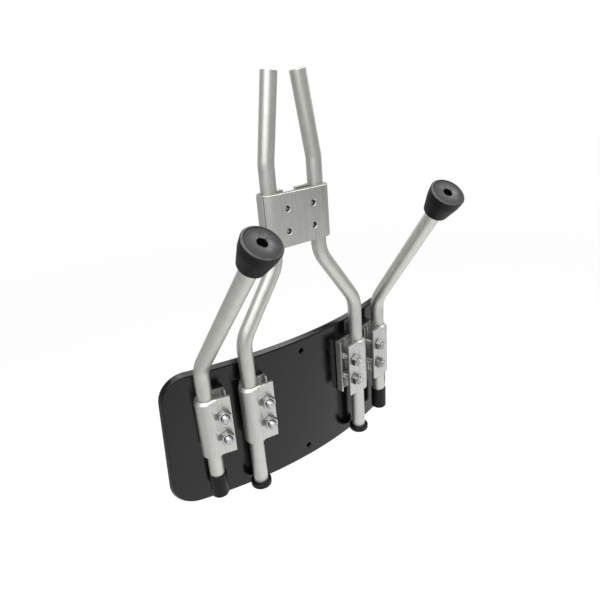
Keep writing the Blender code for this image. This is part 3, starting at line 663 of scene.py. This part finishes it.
# Skinned closed-cell foam: matt black, with cells of about 0.5 mm drawn at 1.3 mm and a soft rumple.
foam, tree, shader = started("closed_cell_foam_sheet")
place = add(tree, "TexCoord", {})
cells = add(tree, "TexVoronoi", {"Vector": place.outputs["Object"], "Scale": 1 / FOAM_CELL_WIDTH})
rumple = add(tree, "TexNoise", {"Vector": place.outputs["Object"], "Scale": 1 / FOAM_RUMPLE, "Detail": 3.0})
tone = add(tree, "Mix", {0: cells.outputs["Distance"], 6: linear(FOAM), 7: linear(FOAM_CELL)},
           data_type="RGBA")
dull = add(tree, "MapRange", {"Value": rumple.outputs["Fac"], **NOISE_SPAN,
                              "To Min": 0.78, "To Max": 0.95})
fine = add(tree, "Bump", {"Height": cells.outputs["Distance"], "Strength": 0.5, "Distance": 0.0003},
           invert=True)
relief = add(tree, "Bump", {"Height": rumple.outputs["Fac"], "Strength": 0.4, "Distance": 0.0012,
                            "Normal": fine.outputs["Normal"]})
feed(shader, {"Base Color": tone.outputs[2], "Sheen Weight": 0.15, "Roughness": dull.outputs["Result"],
              "Normal": relief.outputs["Normal"]})

pad_half = PLATE_HEIGHT / 2 - PAD_MARGIN
front_in = np.linspace(pad_half, PAD_ROUND, num=14)
turn = np.linspace(0, np.pi / 2, num=7)[1:]
side_in = PAD_ROUND * (1 - np.sin(turn))
side_deep = PAD_ROUND * (1 - np.cos(turn))
back_in = np.concatenate([np.linspace(PAD_ROUND, PAD_FINE_END, num=24),
                          np.linspace(PAD_COARSE_START, pad_half, num=14)])
crown = PAD_RIM + (PAD_THICK - PAD_RIM) * (1 - np.exp(-(back_in - PAD_ROUND) / PAD_CROWN_RUN))
groove = PAD_GROOVE * np.exp(-((back_in - PAD_GROOVE_IN) / PAD_GROOVE_HALF) ** 2)
pad_insets = np.concatenate([front_in, side_in, side_in[::-1], back_in])
pad_depths = np.concatenate([front_in * 0, side_deep, PAD_RIM - side_deep[::-1], crown - groove])
pad_width, pad_height = PLATE_WIDTH - 2 * PAD_MARGIN, PLATE_HEIGHT - 2 * PAD_MARGIN
pad_radius = PLATE_RADIUS - PLATE_THICK - FIT
grid = curved_sheet(pad_width, pad_height, PAD_CORNER, pad_insets, pad_depths, pad_radius, PAD_DRAW)
pad = skin("belly_pad_foam", grid)
pad.data.materials.append(foam)
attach(pad, "belly")
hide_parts("belly_pad")

# Clamps
# Four split clamps sawn from one aluminium extrusion: a barrel round the tube, a flat ear on its open
# side, and a foot on the plate with a narrow heel and a lip. Bolts through foot and ear close them.
CLAMP_HALF = 0.03325
BARREL_R = 0.0118
CLAMP_BASE = -0.0133
CLAMP_HEEL = 0.0065
CLAMP_FOOT = -0.0096
CLAMP_SLOT = -0.0048
LIP_IN, LIP_OUT = 0.020061, 0.022561
EAR_BACK, EAR_FRONT = 0.0053, 0.0088
EAR_END = 0.023567
EAR_FILLET = 0.0050
EAR_ROUND = 0.0008
LIP_ROUND = 0.0008
BASE_ROUND = 0.0006
FOOT_ROUND = 0.0010
JAW_ROUND = 0.0005
BORE_ROUND = 0.0004
CROWN_EASE = 0.0032
CROWN_STEEP = 1.05
CROWN_BACK, CROWN_BACK_FADE = 0.009, 0.006
CROWN_EAR, CROWN_EAR_FADE = 0.0100, 0.0045
BARREL_MARGIN = 0.0003
BORE_EASE = 0.0001
BORE_MARGIN = 0.0006
EAR_EASE = 0.00012
fillet_y = EAR_FRONT + EAR_FILLET
fillet_x = np.sqrt((BARREL_R + EAR_FILLET) ** 2 - fillet_y ** 2)
fillet_turn = np.arctan2(fillet_y, fillet_x)
lip = [(LIP_OUT, CLAMP_BASE), (LIP_OUT, CLAMP_SLOT), (LIP_IN, CLAMP_SLOT), (LIP_IN, CLAMP_FOOT)]
jaw = bow((0, 0), BARREL_R, np.arcsin(CLAMP_FOOT / BARREL_R), np.arcsin(CLAMP_SLOT / BARREL_R), count=4)
bore = bow((0, 0), BORE_R, np.arcsin(CLAMP_SLOT / BORE_R), np.arcsin(EAR_BACK / BORE_R) - 2 * np.pi, count=64)
ear = [(EAR_END, EAR_BACK), (EAR_END, EAR_FRONT)]
fillet = bow((fillet_x, fillet_y), EAR_FILLET, -np.pi / 2, fillet_turn - np.pi, count=12)
barrel = bow((0, 0), BARREL_R, fillet_turn, np.pi + np.arccos(CLAMP_HEEL / BARREL_R), count=58)[1:]
clamp_outline = np.vstack([lip, jaw, bore, ear, fillet, barrel, [(-CLAMP_HEEL, CLAMP_BASE)]])
clamp_ease = np.concatenate([[BASE_ROUND, LIP_ROUND, LIP_ROUND, LIP_ROUND], [FOOT_ROUND, 0, 0, JAW_ROUND],
                             [BORE_ROUND], [0] * (len(bore) - 2), [BORE_ROUND], [EAR_ROUND, EAR_ROUND],
                             [0] * (len(fillet) + len(barrel) - 1), [BASE_ROUND, BASE_ROUND]])
clamp_outline = rounded(clamp_outline, clamp_ease, steps=4)
# Sawn edges are eased little in the bore, and the upper one is bevelled deep round the barrel's front.
inboard, outward = clamp_outline.T
from_axis = np.hypot(inboard, outward)
saw_ease = BORE_EASE + (EAR_EASE - BORE_EASE) * np.clip((from_axis - BORE_R - BORE_MARGIN) / SAW_FADE, 0, 1)
front = np.clip((outward + CROWN_BACK) / CROWN_BACK_FADE, 0, 1)
front *= np.clip((CROWN_EAR - inboard) / CROWN_EAR_FADE, 0, 1)
front *= (from_axis > BARREL_R - BARREL_MARGIN) & ((inboard < 0) | (outward > 0))
crown_ease = saw_ease + (CROWN_EASE - EAR_EASE) * front
bolt_way = np.array([(0, -DRILL_DEPTH), (BOLT_HOLE_R, -DRILL_DEPTH), (BOLT_HOLE_R, DRILL_DEPTH),
                     (0, DRILL_DEPTH)])
for name, side, bearing in CLAMPS:
    section = clamp_outline * (side, -1)
    grid = bar(section, CLAMP_Z - CLAMP_HALF, CLAMP_Z + CLAMP_HALF, saw_ease, crown_ease, CROWN_STEEP)
    clamp = skin("clamp_" + name + "_sawn", placed(grid, by_clamp(bearing, 0, 0), 0, bearing), "faces")
    for rise in (-BOLT_RISE, BOLT_RISE):
        spot = by_clamp(bearing, side * BOLT_OFFSET, CLAMP_Z + rise)
        drill(clamp, skin("bolt_way", placed(turned(bolt_way, sides=40), spot, np.pi / 2, bearing)))
    clamp.data.materials.append(extruded)
    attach(clamp, "belly")
    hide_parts("clamp_" + name)

# Clamp bolts and nuts
# M8 countersunk bolts from the plate's back, with a hexagon nut on each in front of the clamp's ear.
# Both are bright zinc-plated steel; the nuts are chamfered on both faces.
BOLT_PITCH = 0.00125
BOLT_KEY = 0.0025
BOLT_KEY_DEPTH = 0.0028
NUT_FLAT = 0.0065
NUT_HEIGHT = 0.0065
NUT_SEAT = EAR_FRONT + FIT
NUT_FACE_R = 0.0062
NUT_CHAMFER = np.array([0, 0.0001, 0.0002, 0.0003, 0.0004, 0.0005, 0.0006, 0.0008])
NUT_CHAMFER_SLOPE = 1.73
NUT_MOUTH_R = 0.0049
NUT_MOUTH = 0.0006
BOLT_PROUD = 0.004
BOLT_END = NUT_SEAT + NUT_HEIGHT + BOLT_PROUD
BOLT_SIDES = 72
turn = np.arange(BOLT_SIDES) * 2 * np.pi / BOLT_SIDES
neck = -BOLT_HEAD - BOLT_HEAD_RIM - BOLT_HEAD_R + BOLT_R
shank, height = thread(BOLT_R, BOLT_PITCH, -BOLT_END, neck, turn)
key = hexagon(BOLT_KEY, turn)
head = [(BOLT_HEAD_R, BOLT_HEAD_RIM), (BOLT_HEAD_R, 0.0), (key + KEY_EASE, 0.0), (key, KEY_EASE),
        (key, BOLT_KEY_DEPTH), (0, BOLT_KEY_DEPTH + KEY_CONE)]
radius = np.vstack([0 * turn, shank] + [row + 0 * turn for row, rise in head])
height = np.vstack([-height[0], -height] + [BOLT_HEAD + rise + 0 * turn for row, rise in head])
bolt_grid = np.stack([radius * np.cos(turn), radius * np.sin(turn), height], -1)
nut_rise = np.concatenate([NUT_CHAMFER, NUT_HEIGHT - NUT_CHAMFER[::-1]])[:, None]
cone = NUT_FACE_R + NUT_CHAMFER_SLOPE * np.minimum(nut_rise, NUT_HEIGHT - nut_rise)
sides = np.minimum(hexagon(NUT_FLAT, turn), cone)
mouth = np.array([(NUT_MOUTH_R, NUT_HEIGHT), (BOLT_HOLE_R, NUT_HEIGHT - NUT_MOUTH),
                  (BOLT_HOLE_R, NUT_MOUTH), (NUT_MOUTH_R, 0)])
radius = np.vstack([sides, mouth[:, :1] + 0 * turn])
height = np.vstack([nut_rise + 0 * turn, mouth[:, 1:] + 0 * turn]) + NUT_SEAT
nut_grid = np.stack([radius * np.cos(turn), radius * np.sin(turn), height], -1)
for name, side, bearing in CLAMPS:
    for row, rise in (("upper", BOLT_RISE), ("lower", -BOLT_RISE)):
        spot = by_clamp(bearing, side * BOLT_OFFSET, CLAMP_Z + rise)
        bolt = skin(f"countersunk_bolt_{name}_{row}", placed(bolt_grid, spot, np.pi / 2, bearing))
        nut = skin(f"hexagon_nut_{name}_{row}", placed(nut_grid, spot, np.pi / 2, bearing), "ring")
        for fastener, node in ((bolt, "clamp_bolt_"), (nut, "clamp_nut_")):
            fastener.data.materials.append(zinc)
            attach(fastener, "belly")
            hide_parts(f"{node}{name}_{row}")

# Bumper arms
# Two more lengths of the 16 mm tube, each held in an outer clamp and bent once, so that its upper
# part leans forward to the bumper.
ARM_FOOT_Z = -0.418207
ARM_BEND_Z = -0.265576
ARM_TILT, ARM_TOE_IN = np.radians([38.1, 8.1])
ARM_REACH = 0.188
ARM_SHORT = 0.0173
arm_along = np.array([0, -np.sin(ARM_TILT), np.cos(ARM_TILT)])
arm_bend = np.array([0, 0, ARM_BEND_Z])
arm_face = arm_bend + ARM_REACH * arm_along
arm_corners = [(0, 0, ARM_FOOT_Z), arm_bend, arm_face - ARM_SHORT * arm_along]
arm_route = rounded(arm_corners, [0, BEND_R, 0], BEND_STEPS)
ARM_AXES = {name.split("_")[1]: by_clamp(bearing, 0, 0)
            for name, side, bearing in CLAMPS if name.startswith("outer")}
for hand, side in SIDES:
    grid = placed(tube(arm_route, (1, 0, 0)), ARM_AXES[hand], 0, side * ARM_TOE_IN)
    arm = skin("bent_arm_" + hand, grid, "ring")
    arm.data.materials.append(anodised)
    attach(arm, "arm_" + hand)
    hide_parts("arm_tube_" + hand)

# Arm caps
# Dip-moulded black vinyl caps pulled over the arms' lower ends, with a soft rolled mouth.
CAP_Z = -0.420507
CAP_LENGTH = 0.0277
CAP_R = 0.0095
CAP_FLOOR = 0.002
CAP_ROUNDS = [0, 0.0018, 0.0005, 0.0005, 0.0008, 0]
cap_corners = [(0, 0), (CAP_R, 0), (CAP_R, CAP_LENGTH), (BORE_R, CAP_LENGTH), (BORE_R, CAP_FLOOR),
               (0, CAP_FLOOR)]
cap_grid = turned(rounded(cap_corners, CAP_ROUNDS, steps=7), sides=48)
for hand, side in SIDES:
    cap = skin("arm_cap_" + hand + "_dipped", placed(cap_grid, ARM_AXES[hand] + (0, 0, CAP_Z)))
    cap.data.materials.append(vinyl)
    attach(cap, "arm_slide_" + hand)
    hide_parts("arm_cap_" + hand)

# Bumpers
# Moulded black rubber buttons that the drum leans on: a flat face with a sunk hole, a straight band,
# and a cone down to the neck that sits over the arm's upper end.
BUMPER_R = 0.0175
BUMPER_RIM = 0.0014
BUMPER_BEAD_R = 0.0152
BUMPER_DISH = 0.0005
BUMPER_BAND = 0.010
BUMPER_TAPER = 0.0008
BUMPER_LENGTH = 0.028
BUMPER_NECK_R = 0.0123
BUMPER_SOCKET = -0.017
BUMPER_HOLE_R = 0.00455
BUMPER_HOLE = -0.012
BUMPER_BEAD_SLOPE = 0.0010
BUMPER_BEAD_TOP = 0.0006
BUMPER_ROUNDS = [0.0006, 0.0006, 0.0002, 0.0002, 0.0006, 0.0008, 0.0015, 0.0005, 0, 0, 0, 0]
BUMPER_SCREW_LENGTH = 0.016
RUBBER = "#060607"
RUBBER_BLOOM = "#101011"
RUBBER_WEAR_AND_SHEEN = "#5C5C5E"
BLOOM_PATCH = 0.006
WEAR_SHEEN_PATCH = 0.007
PATCH_SPAN = {"From Min": 0.36, "From Max": 0.62}
RUBBER_TEXTURE = 0.0007
FACE_WEAR_SHEEN_FULL, FACE_WEAR_SHEEN_LEAST = 0.002, 0.0090
FACE_END_IN, FACE_END_OUT = 0.0115, 0.0125
RIM_HIGHLIGHT_AT = 0.0124
RIM_HIGHLIGHT_HALF = 0.0016
# Dust and painted shade: the sunk screws' zinc is painted darker down in the bumper holes.
ZINC_DUSTY_SHADED = "#5C5C5A"
# Moulded natural rubber: dull black with a grey bloom and a fine mould texture drawn at 0.7 mm. The face is
# greyed in patches of about 7 mm, most round the hole: partly wear from the drum, partly painted sheen that
# is painted strongest on the right, where the key lamp's sheen falls. A pale line round the rim is a painted
# highlight. In the UV map U runs out from the hole, and V round it.
rubber, tree, shader = started("moulded_black_rubber")
place = add(tree, "TexCoord", {})
bloom = add(tree, "TexNoise", {"Vector": place.outputs["Object"], "Scale": 1 / BLOOM_PATCH, "Detail": 4.0})
black = add(tree, "Mix", {0: bloom.outputs["Fac"], 6: linear(RUBBER), 7: linear(RUBBER_BLOOM)},
            data_type="RGBA")
surface = add(tree, "UVMap", {}, uv_map="surface")
from_hole = add(tree, "SeparateXYZ", {"Vector": surface.outputs["UV"]})
patches = add(tree, "TexNoise", {"Vector": place.outputs["Object"], "Scale": 1 / WEAR_SHEEN_PATCH,
                                 "Detail": 6.0, "Roughness": 0.65})
# Painted sheen: the face is painted paler towards its right, where the key lamp's sheen falls.
bearing_on = add(tree, "Math", {0: from_hole.outputs["Y"], 1: 1 / BUMPER_R}, operation="MULTIPLY")
right_hand = add(tree, "Math", {0: bearing_on.outputs["Value"]}, operation="COSINE")
painted_sheen_right = add(tree, "MapRange", {"Value": right_hand.outputs["Value"], "From Min": -1.0,
                                   "To Min": 0.40, "To Max": 1.25})
most = add(tree, "MapRange", {"Value": patches.outputs["Fac"], **PATCH_SPAN,
                              "To Min": 0.25, "To Max": painted_sheen_right.outputs["Result"]})
face_wear_and_sheen = add(tree, "MapRange", {"Value": from_hole.outputs["X"], "From Min": FACE_WEAR_SHEEN_FULL,
                                   "From Max": FACE_WEAR_SHEEN_LEAST, "To Min": most.outputs["Result"],
                                   "To Max": 0.12}, interpolation_type="SMOOTHSTEP")
# Painted highlight: a pale line painted round the rim's edge, patchy along its length.
to_rim = add(tree, "Math", {0: from_hole.outputs["X"], 1: RIM_HIGHLIGHT_AT}, operation="SUBTRACT")
off_rim = add(tree, "Math", {0: to_rim.outputs["Value"]}, operation="ABSOLUTE")
rim_highlight_patches = add(tree, "MapRange", {"Value": patches.outputs["Fac"], **PATCH_SPAN,
                                    "To Min": 0.7, "To Max": 1.0})
painted_rim_highlight = add(tree, "MapRange", {"Value": off_rim.outputs["Value"], "From Max": RIM_HIGHLIGHT_HALF,
                                  "To Min": rim_highlight_patches.outputs["Result"], "To Max": 0.0},
               interpolation_type="SMOOTHSTEP")
face_only_wear_and_sheen = add(tree, "MapRange", {"Value": from_hole.outputs["X"], "From Min": FACE_END_IN,
                                   "From Max": FACE_END_OUT, "To Min": face_wear_and_sheen.outputs["Result"],
                                   "To Max": 0.0})
wear_and_sheen = add(tree, "Math", {0: face_only_wear_and_sheen.outputs["Result"], 1: painted_rim_highlight.outputs["Result"]}, operation="MAXIMUM")
# The worn grey stands for real wear and for painted sheen on the face, and for a painted highlight on the
# rim.
tone = add(tree, "Mix", {0: wear_and_sheen.outputs["Value"], 6: black.outputs[2], 7: linear(RUBBER_WEAR_AND_SHEEN)},
           data_type="RGBA")
dull = add(tree, "MapRange", {"Value": bloom.outputs["Fac"], **NOISE_SPAN,
                              "To Min": 0.38, "To Max": 0.54})
texture = add(tree, "TexNoise", {"Vector": place.outputs["Object"], "Scale": 1 / RUBBER_TEXTURE,
                                 "Detail": 2.0})
relief = add(tree, "Bump", {"Height": texture.outputs["Fac"], "Strength": 0.3, "Distance": 0.0001})
feed(shader, {"Base Color": tone.outputs[2], "IOR": 1.52, "Specular IOR Level": 0.16,
              "Roughness": dull.outputs["Result"], "Normal": relief.outputs["Normal"]})

# The zinc-plated steel of the sunk screws, dulled by rubber dust and grease in their holes, and painted
# darker as shade deep in the holes.
dusty_shaded_zinc, tree, shader = started("dusty_shaded_zinc_plated_steel")
feed(shader, {"Base Color": linear(ZINC_DUSTY_SHADED), "Metallic": 1.0, "Roughness": 0.55})

bumper_corners = [
    (BUMPER_HOLE_R, -BUMPER_DISH), (BUMPER_BEAD_R - BUMPER_BEAD_SLOPE, -BUMPER_DISH), (BUMPER_BEAD_R, 0),
    (BUMPER_BEAD_R + BUMPER_BEAD_TOP, 0), (BUMPER_R, -BUMPER_RIM), (BUMPER_R - BUMPER_TAPER, -BUMPER_BAND),
    (BUMPER_NECK_R, -BUMPER_LENGTH), (BORE_R, -BUMPER_LENGTH), (BORE_R, BUMPER_SOCKET),
    (TAP_R, BUMPER_SOCKET), (TAP_R, BUMPER_HOLE), (BUMPER_HOLE_R, BUMPER_HOLE)]
bumper_grid = turned(rounded(bumper_corners, BUMPER_ROUNDS, steps=8), sides=72)
for hand, side in SIDES:
    turn = side * ARM_TOE_IN
    face = placed(arm_face, ARM_AXES[hand], 0, turn)
    bumper = skin("rubber_bumper_" + hand, placed(bumper_grid, face, ARM_TILT, turn), "ring")
    bumper.data.materials.append(rubber)
    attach(bumper, "arm_" + hand)
    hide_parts("bumper_" + hand)
    seat = placed(arm_face + (BUMPER_HOLE + FIT) * arm_along, ARM_AXES[hand], 0, turn)
    screw = skin("sunk_screw_" + hand, placed(socket_screw(BUMPER_SCREW_LENGTH), seat, ARM_TILT, turn))
    screw.data.materials.append(dusty_shaded_zinc)
    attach(screw, "arm_" + hand)
    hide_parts("bumper_screw_" + hand)
    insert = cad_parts["bumper_insert_" + hand]
    insert.data.materials.clear()
    insert.data.materials.append(vinyl)

# Studio
# A white sweep that keeps a soft shadow, in a room that is white behind the frame and darker on the
# camera's side. A key lamp stands to the right and above, a wider fill lamp to the left, and a lamp overhead.
FLOOR_Z = -0.75
FLOOR_HALF = 6.0
ROOM_LIGHT = 0.40
ROOM_FRONT = 0.38
ROOM_BACK = (0.587, 0.810, 0.0)
FLOOR_GREY = (0.25, 0.25, 0.25, 1.0)
PAINTED_POOL_AT = (0.38, -0.58, FLOOR_Z)
WHITE = (1.0, 1.0, 1.0, 1.0)
KEY = ((0.85, -0.25, 0.85), 1.0, 9.0)
FILL = ((-0.95, -0.75, 0.70), 1.8, 21.0)
TOP = ((0.00, -0.10, 0.95), 1.4, 17.0)
floor_mesh = bpy.data.meshes.new("studio_floor")
floor_corners = FLOOR_HALF * np.array([(-1, -1, 0), (1, -1, 0), (1, 1, 0), (-1, 1, 0)]) + (0, 0, FLOOR_Z)
floor_mesh.from_pydata(floor_corners.tolist(), [], [(0, 1, 2, 3)])
floor = bpy.data.objects.new("studio_floor", floor_mesh)
bpy.context.collection.objects.link(floor)
paper, tree, shader = started("white_studio_paper")
# Painted light: for mirrored rays the floor glows in a bright pool round a spot near the key lamp, fading
# with distance, and the metal mirrors it; the camera sees an even sweep.
rays = add(tree, "LightPath", {})
place = add(tree, "TexCoord", {})
away = add(tree, "VectorMath", {0: place.outputs["Object"], 1: PAINTED_POOL_AT}, operation="DISTANCE")
# The painted pool of light: strongest near its centre, fading out by 1.25 m.
painted_pool = add(tree, "MapRange", {"Value": away.outputs["Value"], "From Min": 0.5, "From Max": 1.25,
                              "To Min": 0.85, "To Max": 0.35}, interpolation_type="SMOOTHSTEP")
mirrored = add(tree, "MapRange", {"Value": rays.outputs["Is Glossy Ray"], "To Min": 0.1,
                                  "To Max": painted_pool.outputs["Result"]})
seen = add(tree, "Math", {0: rays.outputs["Is Camera Ray"], 1: rays.outputs["Is Transmission Ray"]},
           operation="MAXIMUM")
range_out = add(tree, "VectorMath", {0: place.outputs["Object"], 1: (0, 0, FLOOR_Z)}, operation="DISTANCE")
sweep = add(tree, "MapRange", {"Value": range_out.outputs["Value"], "From Min": 0.3, "From Max": 3.5,
                               "To Min": 0.74, "To Max": 0.90}, interpolation_type="SMOOTHSTEP")
glow = add(tree, "MapRange", {"Value": seen.outputs["Value"], "To Min": mirrored.outputs["Result"],
                              "To Max": sweep.outputs["Result"]})
feed(shader, {"Base Color": FLOOR_GREY, "Roughness": 1.0, "Specular IOR Level": 0.0,
              "Emission Color": WHITE, "Emission Strength": glow.outputs["Result"]})
floor_mesh.materials.append(paper)
room = bpy.data.worlds.new("white_room")
bpy.context.scene.world = room
room.use_nodes = True
tree = room.node_tree
rays = add(tree, "LightPath", {})
way = add(tree, "TexCoord", {})
behind = add(tree, "VectorMath", {0: way.outputs["Generated"], 1: ROOM_BACK}, operation="DOT_PRODUCT")
wall = add(tree, "MapRange", {"Value": behind.outputs["Value"], "From Min": 0.2, "From Max": 0.9,
                              "To Min": ROOM_FRONT, "To Max": 1.0}, interpolation_type="SMOOTHSTEP")
mirrored = add(tree, "MapRange", {"Value": rays.outputs["Is Glossy Ray"], "To Min": ROOM_LIGHT,
                                  "To Max": wall.outputs["Result"]})
seen = add(tree, "Math", {0: rays.outputs["Is Camera Ray"], 1: rays.outputs["Is Transmission Ray"]},
           operation="MAXIMUM")
level = add(tree, "MapRange", {"Value": seen.outputs["Value"], "To Min": mirrored.outputs["Result"],
                               "To Max": 1.0})
feed(tree.nodes["Background"], {"Color": WHITE, "Strength": level.outputs["Result"]})
for name, (spot, size, power) in (("key_lamp", KEY), ("fill_lamp", FILL), ("top_lamp", TOP)):
    lamp = bpy.data.objects.new(name, bpy.data.lights.new(name, "AREA"))
    lamp.data.size = size
    lamp.data.energy = power
    lamp.location = spot
    lamp.rotation_euler = Vector(VIEW_TARGET - spot).to_track_quat("-Z", "Y").to_euler()
    bpy.context.collection.objects.link(lamp)
